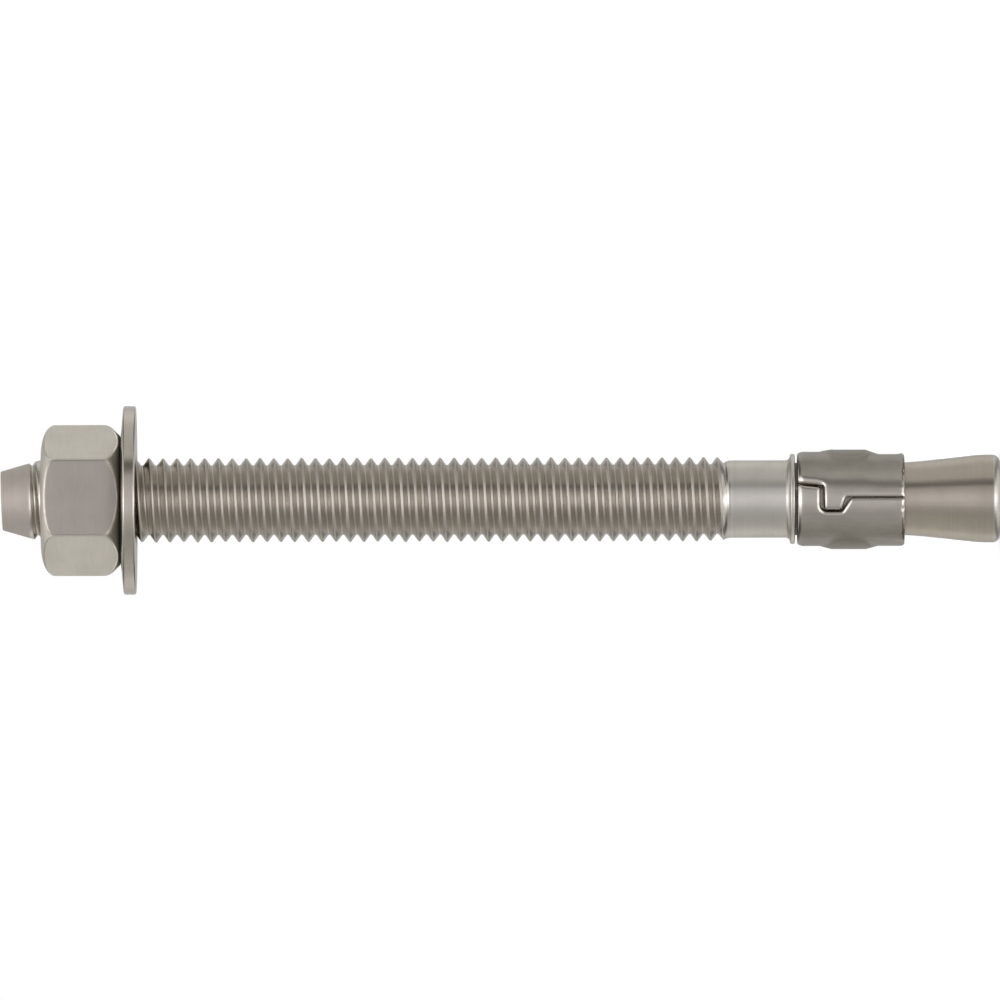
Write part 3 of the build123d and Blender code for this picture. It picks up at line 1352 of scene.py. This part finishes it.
@dataclass
class ExpansionSleeve:
    """Strip of sheet with two pressed pads, rolled into a ring whose ends hook into each other."""

    top: float = 112.3
    length: float = 15.1
    radius: float = 6.65
    thickness: float = 1.1
    tongue_side: tuple[Triple, ...] = (
        (0.0, 2.22, 0.25),
        (3.67, 1.93, 0.3),
        (3.67, -1.62, 0.45),
        (6.15, -1.62, 0.45),
        (6.83, 0.27, 0.4),
        (length, 0.27, 0.25),
    )
    """Corners of the end that has the tongue, as (along, across from the front line, rounding)."""
    tab_side: tuple[Triple, ...] = (
        (length, 0.14, 0.3),
        (7.5, 0.14, 0.6),
        (6.25, -1.87, 0.45),
        (3.17, -1.87, 0.95),
        (3.17, 1.7, 0.3),
        (0.0, 2.08, 0.3),
    )
    """Corners of the other end, from the bottom up."""
    edge_round: float = 0.15
    edge_steps: int = 3
    soft_width: float = 0.5
    """Width of the soft shoulder that leads to the strip's sheared edges."""
    soft_slope: float = 60.0
    mouth_width: float = 0.85
    mouth_slope: float = 38.0
    end_width: float = 0.5
    """Average width of the uneven shoulder at the sleeve's lower end."""
    end_slope: float = 42.0
    end_swing: float = 0.2
    end_waves: tuple[Triple, ...] = ((1.0, 1.9, 0.7), (0.6, 4.7, 0.0))
    """Waves of that shoulder's width, as (weight, angle for each millimetre round the ring, first angle)."""
    burrs: tuple[tuple[float, float, float, float], ...] = (
        (0.3, 88.0, 0.45, 0.13),
        (0.5, -60.0, 0.7, 0.1),
        (0.35, 42.0, 0.4, 0.06),
        (0.3, 14.0, 0.35, 0.06),
        (0.4, -24.0, 0.4, 0.05),
        (0.3, 140.0, 0.5, 0.08),
        (0.4, -150.0, 0.6, 0.07),
    )
    """Lumps at the lower end, as (distance from the end, angle, size, height)."""
    lip_radius: float = 1.25
    lip_line: tuple[Spot, ...] = ((0.0, 3.5), (1.4, 3.12), (2.5, 3.05), (3.3, 2.8))
    """Where the upper sheet starts to bend down to the tab, as (along, across)."""
    lip_width: float = 1.1
    """Width of the bend."""
    lip_end: Spot = (3.3, 3.95)
    """Distances along, between which the bend fades out."""
    flattening: tuple[Spot, ...] = ((3.6, 0.0), (5.2, 0.15), (9.4, 0.15), (11.6, 0.34))
    """How much the +Y side is pressed flatter, as (along, depth)."""
    deepest: float = 0.85
    """Share of the thickness that pressing takes away at most."""
    pad_height: float = 0.45
    pad_spread: float = 40.0
    pad_narrowing: float = 0.22
    """Share of the spread that a pad loses from its middle to the ends of its flat length."""
    pad_reach: float = 1.6
    """How many times half the flat length the narrowing reaches from the middle."""
    pad_soft: float = 0.03
    """Softness of a pad's outline."""
    pad_fade: Spot = (1.0, 1.4)
    """Angles from a pad's middle between which it is faded out."""
    pad_flat: float = 4.8
    pad_ramp: float = 1.7
    ramp_fade: float = 0.9
    """Share of the ramp after which the pad is faded out."""
    pad_centre: float = 7.25
    wear_and_sheen_depth: float = 0.1
    # Depth of a shoulder at which it is fully worn and its painted highlight is full.
    """Depth of a shoulder at which it is fully worn."""
    arc_step: float = 2.5
    along_step: float = 0.25
    seam_width: float = 4.4
    seam_step: float = 0.14
    cut_shifts: Triple = (0.31, 0.37, 0.63)
    """Share of a step by which the cuts across, at the seam and along are shifted, to miss the corners."""

    @property
    def girth(self) -> float:
        """Length of the outer skin round the ring."""
        return FULL_TURN * self.radius

    def around(self, offset: float) -> float:
        """Distance along the skin for a distance across the ring from its front line."""
        return self.radius * math.asin(offset / self.radius)

    def blank(self) -> list[Spot]:
        """Outline of the flat strip, as (distance along the anchor, distance round the ring).

        Returns:
            Points of the closed outline, without the first point again at the end.
        """
        corners = []
        for start, side in ((0.0, self.tongue_side), (self.girth, self.tab_side)):
            for along, across, rounding in side:
                corners.append(Corner(along, start + self.around(across), rounding, steps=4))
        return rounded_outline(corners, closed=True)[:-1]

    def press_height(self, along: np.ndarray, angles: np.ndarray) -> np.ndarray:
        """Height of the pads over the skin.

        Args:
            along: Distances along the anchor from the sleeve's upper end.
            angles: Angles round the ring from its front line.

        Returns:
            Heights in millimetres, 0 away from the pads.
        """
        crest = self.radius + self.pad_height
        away = np.clip(np.abs(along - self.pad_centre) / (self.pad_flat / 2), 0, self.pad_reach)
        spread = math.radians(self.pad_spread) * (1 - self.pad_narrowing * away**2)
        offset = (crest**2 - self.radius**2) / (2 * (crest - self.radius * np.cos(spread)))
        ramp = np.clip((np.abs(along - self.pad_centre) - self.pad_flat / 2) / self.pad_ramp, 0, 1)
        barrel = crest - offset - self.pad_height * ramp
        heights = np.zeros_like(along)
        for middle in (math.pi / 2, 3 * math.pi / 2):
            swing = np.abs(angles - middle)
            inside = np.maximum(barrel**2 - (offset * np.sin(swing)) ** 2, 0)
            pad = offset * np.cos(swing) + np.sqrt(inside) - self.radius
            pad = (pad + np.sqrt(pad**2 + self.pad_soft**2)) / 2
            fades = (1 - smooth_step(swing, *self.pad_fade)) * (1 - smooth_step(ramp, self.ramp_fade, 1.0))
            heights = np.maximum(heights, pad * fades)
        return heights

    def edge_distance(self, along: np.ndarray, around: np.ndarray) -> np.ndarray:
        """Measure how far places on the flat strip are from its outline.

        Args:
            along: Distances along the anchor from the sleeve's upper end.
            around: Distances round the ring from its front line.

        Returns:
            Distance of each place from the outline.
        """
        starts = np.array(self.blank())
        sides = np.roll(starts, -1, axis=0) - starts
        nearest = np.full(len(along), np.inf)
        for (start_along, start_around), (side_along, side_around) in zip(starts, sides):
            to_along, to_around = along - start_along, around - start_around
            share = (to_along * side_along + to_around * side_around) / (side_along**2 + side_around**2)
            share = np.clip(share, 0, 1)
            gap = np.hypot(to_along - share * side_along, to_around - share * side_around)
            nearest = np.minimum(nearest, gap)
        return nearest

    def burr_height(self, along: np.ndarray, angles: np.ndarray) -> np.ndarray:
        """Height of the burrs over the skin.

        Args:
            along: Distances along the anchor from the sleeve's upper end.
            angles: Angles round the ring from its front line.

        Returns:
            Heights in millimetres.
        """
        heights = np.zeros_like(along)
        for from_end, angle, size, top in self.burrs:
            swing = (angles - math.radians(angle) + math.pi) % FULL_TURN - math.pi
            distance = np.hypot(along - (self.length - from_end), swing * self.radius)
            heights += top * np.exp(-((distance / size) ** 2))
        return heights

    def skin_drop(self, along: np.ndarray, around: np.ndarray) -> tuple[np.ndarray, np.ndarray]:
        """How far the outer skin lies below the full thickness: soft shoulders, bent lip and flatter side.

        Args:
            along: Distances along the anchor from the sleeve's upper end.
            around: Distances round the ring from its front line.

        Returns:
            Depths of the shoulders and the lip, and depths of all together, in millimetres.
        """
        soft = shoulder(self.soft_width - self.edge_distance(along, around), self.soft_width, self.soft_slope)
        mouth = shoulder(self.mouth_width - along, self.mouth_width, self.mouth_slope)
        swing = sum(weight * np.sin(around * rate + first) for weight, rate, first in self.end_waves)
        uneven = self.end_width + self.end_swing * swing / sum(weight for weight, _, _ in self.end_waves)
        mouth = np.maximum(mouth, shoulder(uneven - (self.length - along), self.end_width, self.end_slope))
        line_along, line_across = zip(*self.lip_line)
        across = np.where(around < self.girth / 4, self.radius * np.sin(around / self.radius), self.radius)
        reach = (np.interp(along, line_along, line_across) - across) * (1 - smooth_step(along, *self.lip_end))
        lip = shoulder(reach, self.lip_width, math.degrees(math.asin(self.lip_width / self.lip_radius)))
        flat_along, flat_depth = zip(*self.flattening)
        flat = np.interp(along, flat_along, flat_depth) * np.maximum(np.sin(around / self.radius), 0)
        edges = np.maximum(soft, mouth) + lip
        return edges, np.minimum(edges + flat, self.deepest * self.thickness)

    def cut_blank(self) -> bpy.types.Object:
        """Cut the flat strip with its rounded edges, in the XZ plane with its thickness along +Y.

        Returns:
            The strip.
        """
        outline = [Vector((along * MM, 0, (around - self.girth / 2) * MM)) for along, around in self.blank()]
        strip = draw_line("sleeve", [*outline, outline[0]])
        with editing(strip):
            bpy.ops.mesh.remove_doubles(threshold=MERGE_DISTANCE)
            bpy.ops.mesh.select_all(action="SELECT")
            bpy.ops.transform.translate(value=(0, self.thickness * MM, 0))
            bpy.ops.mesh.edge_face_add()
            wall = (self.thickness - self.edge_round) * MM
            bpy.ops.mesh.extrude_region_move(TRANSFORM_OT_translate={"value": (0, -wall, 0)})
            for step in range(self.edge_steps):
                start, end = (math.pi / 2 * part / self.edge_steps for part in (step, step + 1))
                inward = self.edge_round * (math.cos(start) - math.cos(end)) * MM
                rise = self.edge_round * (math.sin(end) - math.sin(start)) * MM
                bpy.ops.mesh.inset(thickness=inward, depth=0, use_even_offset=True)
                bpy.ops.transform.translate(value=(0, -rise, 0))
        return strip

    def divide(self, strip: bpy.types.Object) -> None:
        """Score the strip across and along, more closely at the seam, so that it can be pressed and rolled.

        Args:
            strip: The flat strip.
        """
        arc_shift, seam_shift, along_shift = self.cut_shifts
        arc = math.radians(self.arc_step) * self.radius
        half_girth, seam_start = self.girth / 2, self.girth / 2 - self.seam_width
        arcs = np.arange(-seam_start + arc_shift * arc, seam_start, arc)
        seam_end = half_girth + self.seam_width
        seam = np.arange(seam_start + seam_shift * self.seam_step, seam_end, self.seam_step)
        levels = [*arcs, *seam, *-seam]
        stations = np.arange(self.along_step * along_shift, self.length, self.along_step)
        cuts = [((0, 0, level * MM), (0, 0, 1)) for level in levels]
        cuts += [((station * MM, 0, 0), (1, 0, 0)) for station in stations]
        with editing(strip):
            for place, normal in cuts:
                bpy.ops.mesh.select_all(action="SELECT")
                bpy.ops.mesh.bisect(plane_co=place, plane_no=normal, threshold=CUT_THRESHOLD)

    def press(self, strip: bpy.types.Object) -> None:
        """Press the flat strip: its pads, its lip and the shoulders of its edges.

        Args:
            strip: The flat strip.
        """
        places = vertex_places(strip)
        along, around = places[:, 0] / MM, places[:, 2] / MM + self.girth / 2
        level = self.thickness - places[:, 1] / MM
        edges, drop = self.skin_drop(along, around)
        burrs = self.burr_height(along, around / self.radius)
        # The wear attribute marks worn shoulders and burrs, and also where their painted highlight lies.
        wear = strip.data.attributes.new(WEAR_AND_SHEEN, "FLOAT", "POINT")
        wear.data.foreach_set("value", np.clip((edges + burrs) / self.wear_and_sheen_depth, 0, 1))
        level *= 1 - (drop - burrs) / self.thickness
        level += self.press_height(along, around / self.radius)
        places[:, 1] = (self.thickness - level) * MM
        move_vertices(strip, places)

    def build(self) -> bpy.types.Object:
        """Cut, press and roll the strip, and put it round the neck.

        Returns:
            The sleeve.
        """
        strip = self.cut_blank()
        self.divide(strip)
        self.press(strip)
        levels = [vertex.co.z for vertex in strip.data.vertices]
        bend = (max(levels) - min(levels)) / (self.radius * MM)
        apply_modifier(strip, "SIMPLE_DEFORM", deform_method="BEND", deform_axis="X", angle=bend)
        rows = ((0, 1, 0, -self.radius * MM), (0, 0, -1, 0), (-1, 0, 0, height(self.top)), (0, 0, 0, 1))
        strip.matrix_world = Matrix(rows)
        pick(strip)
        bpy.ops.object.transform_apply()
        close_up(strip)
        smooth(strip, sharpest=40.0)
        return strip

    def dress(self, sleeve: bpy.types.Object) -> None:
        """Give the sleeve its steel: painted shade on its sides and pads, and worn edges with a painted
        highlight.

        Args:
            sleeve: The finished mesh.
        """
        SteelFinish(
            name="sleeve_steel",
            colour=(0.465, 0.427, 0.37),
            dark_colour=(0.39, 0.357, 0.307),
            roughness=0.26,
            roughness_swing=0.08,
            line_scale=(1500.0, 1500.0, 300.0),
            blotch_scale=250.0,
            line_depth=0.0008,
            dent_depth=0.0015,
            patches=(
                # Painted shade on the sides, to the left and right of the front.
                Sides(tint=(0.59, 0.59, 0.575)),
                # Painted shade on the pads.
                Belt(inner=6.76, fade=0.05, tint=(0.82, 0.82, 0.81)),
                # Painted highlight on the worn edges: their colour is brightened, and the lower roughness
                # stands for the real wear.
                WornEdgesAndHighlight(tint=(1.15, 1.15, 1.17), roughness=-0.08),
            ),
        ).cover(sleeve)


# ---------------------------------------------------------------------------------------------------------
# Studio
# ---------------------------------------------------------------------------------------------------------


@dataclass
class Studio:
    """Pale floor, soft light all round, and a long camera that looks at the side of the anchor."""

    distance: float = 3.0
    view_width: float = 0.141
    middle_height: float = 0.07048
    sideways: float = -0.000056
    roll: float = 0.13
    sensor: float = 36.0
    clip_end: float = 50.0
    floor_size: float = 0.8
    floor_grey: float = 0.9
    floor_glow: float = 0.35
    level_light: tuple[Spot, ...] = (
        (-180.0, 0.55), (-150.0, 0.65), (-132.0, 0.88), (-115.0, 0.95), (-100.0, 0.74), (-80.0, 0.66),
        (-60.0, 0.6), (-42.0, 0.55), (-28.0, 0.64), (-14.0, 0.86), (-5.0, 0.95), (5.0, 0.96),
        (14.0, 0.88), (24.0, 0.76), (31.0, 0.62), (35.0, 0.4), (41.0, 0.22), (47.0, 0.2), (50.5, 0.42),
        (56.0, 0.7), (70.0, 0.75), (90.0, 0.75), (105.0, 0.78), (117.0, 0.93), (132.0, 0.95),
        (150.0, 0.68), (180.0, 0.55),
    )
    """Light levels by azimuth, for rays that run level."""
    slanting_light: tuple[Spot, ...] = (
        (-180.0, 0.38), (-120.0, 0.2), (-90.0, 0.1), (-52.0, 0.32), (-28.0, 1.35), (-10.0, 3.2),
        (9.0, 3.2), (24.0, 1.5), (42.0, 1.25), (60.0, 0.32), (90.0, 0.14), (120.0, 0.28), (180.0, 0.38),
    )
    """Light levels by azimuth, for rays that slant up or down."""
    steep_light: tuple[Spot, ...] = (
        (-180.0, 1.0), (-60.0, 0.9), (-24.0, 1.2), (-10.0, 2.2), (12.0, 2.2), (26.0, 1.2), (60.0, 0.9),
        (180.0, 1.0),
    )
    """Light levels by azimuth, for rays that run steeply up or down."""
    slanting_from: Spot = (0.3, 0.5)
    """Sines of the slope between which level light turns into slanting light."""
    steep_from: Spot = (0.66, 0.8)
    """Sines of the slope between which slanting light turns into steep light."""
    front_blue: float = 0.08
    """How much bluer than grey the light from the front is."""
    front_spread: float = 60.0
    """Azimuth on either side at which that blue has gone."""

    def build_camera(self) -> None:
        """Put up the camera, turned so that the anchor lies across the picture."""
        bpy.ops.object.camera_add()
        camera = bpy.context.active_object
        camera.data.sensor_width = self.sensor
        camera.data.lens = self.sensor * self.distance / self.view_width
        camera.data.clip_end = self.clip_end
        lean = math.radians(self.roll)
        right = Vector((0, -math.sin(lean), -math.cos(lean)))
        up = Vector((0, math.cos(lean), -math.sin(lean)))
        axes = Matrix((right, up, right.cross(up))).transposed().to_4x4()
        camera.matrix_world = Matrix.Translation((self.distance, self.sideways, self.middle_height)) @ axes
        bpy.context.scene.camera = camera

    def strip_colour(self, angle: float, level: float) -> Colour:
        """Colour of the strip of light at an azimuth in degrees, a little cooler at the front."""
        blue = 1 + self.front_blue * max(0.0, 1 - abs(angle) / self.front_spread)
        return level, level, level * blue

    def build_world(self) -> None:
        """Light the anchor from all sides: white to the camera, and in soft upright strips to the steel."""
        world = bpy.data.worlds.new("studio")
        world.use_nodes = True
        bpy.context.scene.world = world
        book = NodeBook(world.node_tree)
        direction = book.add("ShaderNodeTexCoord").outputs["Generated"]
        x, y, z = book.split(direction)
        share = y.math("ARCTAN2", x) * (1 / FULL_TURN) + 0.5
        ramps = []
        for levels in (self.level_light, self.slanting_light, self.steep_light):
            stops = [(angle / 360 + 0.5, self.strip_colour(angle, level)) for angle, level in levels]
            ramps.append(book.add("ShaderNodeValToRGB", {"stops": stops}, {0: share}).outputs[0])
        slant = z.math("ABSOLUTE")
        strips = book.mix(slant.ease(*self.slanting_from), ramps[0], ramps[1])
        ends = book.mix(slant.ease(*self.steep_from), strips, ramps[2])
        seen = book.add("ShaderNodeLightPath").outputs["Is Camera Ray"]
        colour = book.mix(Value(book, seen), ends, (1.0, 1.0, 1.0))
        light = book.add("ShaderNodeBackground", {}, {"Color": colour, "Strength": 1.0})
        book.add("ShaderNodeOutputWorld", {}, {"Surface": light.outputs[0]})

    def build_floor(self) -> None:
        """Lay the pale floor, which shows the anchor's soft shadow."""
        bpy.ops.mesh.primitive_plane_add(size=self.floor_size, location=(0, 0, 0))
        floor = bpy.context.active_object
        floor.name = "studio_floor"
        material = bpy.data.materials.new("pale_floor")
        material.use_nodes = True
        book = NodeBook(material.node_tree)
        paths = book.add("ShaderNodeLightPath")
        seen = Value(book, paths.outputs["Is Camera Ray"])
        matt = book.add("ShaderNodeBsdfDiffuse", {}, {"Color": (*(self.floor_grey,) * 3, 1.0)})
        glow = book.add("ShaderNodeEmission", {}, {"Strength": seen * self.floor_glow})
        both = book.add("ShaderNodeAddShader", {}, {0: matt.outputs[0], 1: glow.outputs[0]})
        clear = book.add("ShaderNodeBsdfTransparent")
        mirrored = paths.outputs["Is Glossy Ray"]
        surface = book.add("ShaderNodeMixShader", {}, {0: mirrored, 1: both.outputs[0], 2: clear.outputs[0]})
        book.add("ShaderNodeOutputMaterial", {}, {"Surface": surface.outputs[0]})
        floor.data.materials.append(material)

    def build(self) -> None:
        """Set up the whole studio."""
        bpy.context.scene.view_settings.view_transform = "Standard"
        self.build_camera()
        self.build_world()
        self.build_floor()


# ---------------------------------------------------------------------------------------------------------
# Assembly
# ---------------------------------------------------------------------------------------------------------


class Body(Enum):
    """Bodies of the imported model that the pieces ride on; each carries the node of the same name."""

    STUD = "anchor_body"
    SLEEVE = "expansion_sleeve"
    WASHER = "washer"
    NUT = "hex_nut"


def hand_over(piece: bpy.types.Object, body: Body) -> None:
    """Put a finished piece in place of its solid.

    Args:
        piece: The finished piece.
        body: The body that it rides on.
    """
    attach(piece, body.value)
    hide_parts(body.value)
    places = vertex_places(piece) / MM
    spans = [f"{low:.2f} to {high:.2f}" for low, high in zip(places.min(axis=0), places.max(axis=0))]
    log.info("%s: %d faces, X %s, Y %s, Z %s mm", piece.name, len(piece.data.polygons), *spans)


def main() -> None:
    """Build the studio and the anchor's pieces in order."""
    logging.basicConfig(level=logging.INFO, format="%(message)s")
    Studio().build()
    pieces = (
        (AnchorStud(), Body.STUD, "stud_steel"),
        (HexNut(), Body.NUT, "nut_steel"),
        (FlatWasher(), Body.WASHER, "washer_steel"),
        (ExpansionSleeve(), Body.SLEEVE, "sleeve_steel"),
    )
    for maker, body, slot in pieces:
        piece = maker.build()
        maker.dress(piece)
        hand_over(piece, body)


if __name__ == "__main__":
    main()
